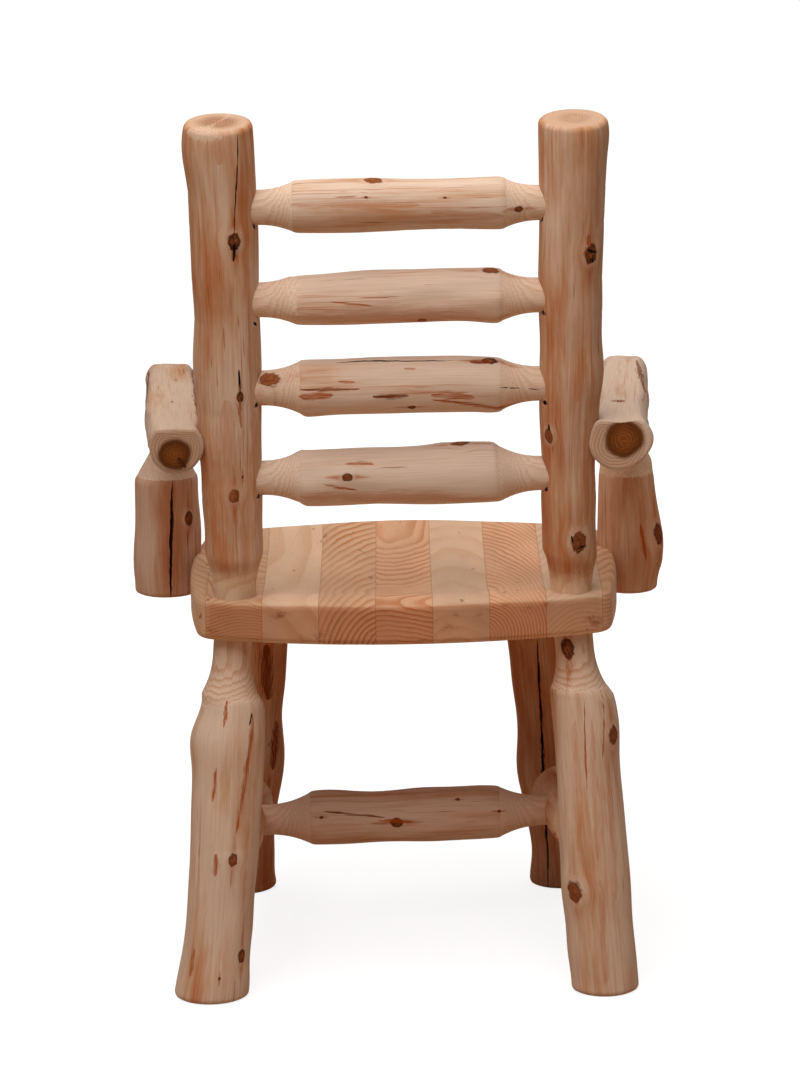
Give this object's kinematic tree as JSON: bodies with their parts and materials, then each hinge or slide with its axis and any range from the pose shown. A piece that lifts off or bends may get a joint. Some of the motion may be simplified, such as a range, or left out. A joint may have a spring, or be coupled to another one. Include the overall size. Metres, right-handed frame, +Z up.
{
  "type": "ladder back armchair",
  "caption": "Rustic ladder back armchair of peeled logs with turned tenons, a carved seat of glued staves and flat-topped log arms on short upright supports.",
  "frame": {"origin": "on the floor, under the middle of the chair's bounding box", "axes": "+Z up; the sitter faces -Y; +X is on the sitter's left"},
  "size_m": [0.6111, 0.5767, 0.9973],
  "materials": {
    "log_wood": "satin",
    "seat_wood": "satin",
    "plug_wood": "satin",
    "steel": "satin"
  },
  "bodies": {
    "root": {"arm_lag_screws": "steel", "arm_left": "log_wood", "arm_plugs": "plug_wood", "arm_right": "log_wood", "arm_support_left": "log_wood", "arm_support_right": "log_wood", "back_rung_1": "log_wood", "back_rung_2": "log_wood", "back_rung_3": "log_wood", "back_rung_4": "log_wood", "cross_stretcher": "log_wood", "front_leg_left": "log_wood", "front_leg_right": "log_wood", "rear_leg_left": "log_wood", "rear_leg_right": "log_wood", "rear_post_left": "log_wood", "rear_post_right": "log_wood", "seat_stave_1": "seat_wood", "seat_stave_2": "seat_wood", "seat_stave_3": "seat_wood", "seat_stave_4": "seat_wood", "seat_stave_5": "seat_wood", "seat_stave_6": "seat_wood", "seat_stave_7": "seat_wood", "seat_stave_8": "seat_wood", "seat_stave_9": "seat_wood", "side_stretcher_left": "log_wood", "side_stretcher_right": "log_wood", "support_lag_screws": "steel", "support_plugs": "plug_wood", "tenon_screws": "steel"}
  },
  "joints": []
}
